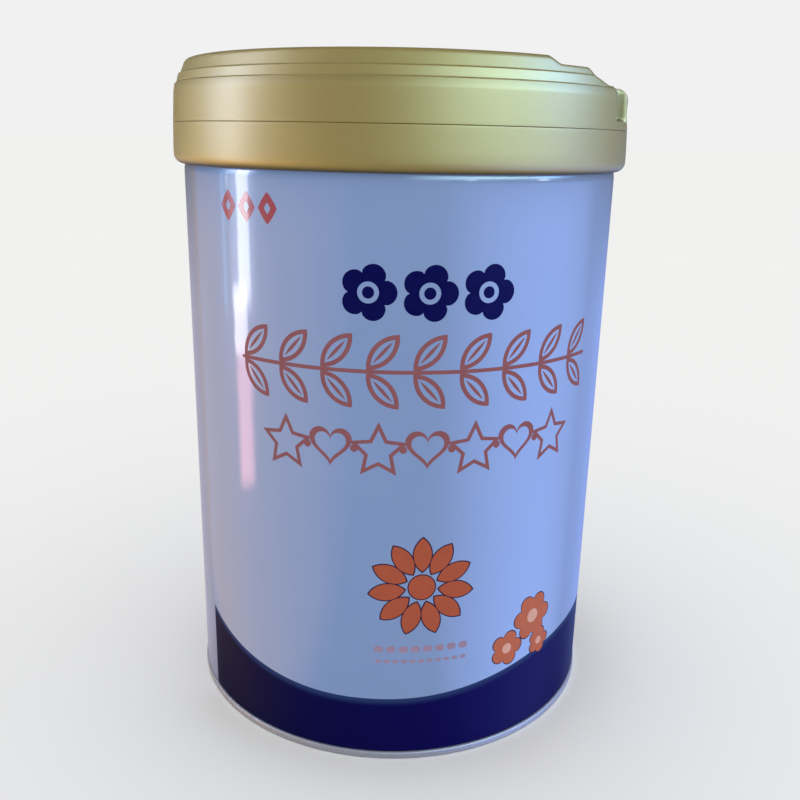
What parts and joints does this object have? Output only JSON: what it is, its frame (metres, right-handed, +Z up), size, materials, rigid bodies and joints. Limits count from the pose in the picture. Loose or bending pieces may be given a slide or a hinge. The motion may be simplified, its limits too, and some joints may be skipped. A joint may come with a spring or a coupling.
{
  "type": "milk powder tin",
  "caption": "Shut cylindrical milk powder tin of lacquered tinplate with a seamed base and a gold plastic clip-on lid whose flip-top cover has a recessed thumb tab.",
  "frame": {"origin": "centre of the circle that the base rim stands on", "axes": "+Z up along the tin's axis, -Y out of the printed front, +X to the viewer's right; the thumb tab points 80 degrees round from the front towards +X"},
  "size_m": [0.1325, 0.1325, 0.1903],
  "materials": {
    "wall": "gloss lacquer over printed tinplate",
    "base": "bare tinplate",
    "lid": "satin metallic gold"
  },
  "bodies": {
    "root": {"tin_wall": "wall", "base_end": "base", "lid_ring": "lid", "lid_cover": "lid"}
  },
  "joints": []
}
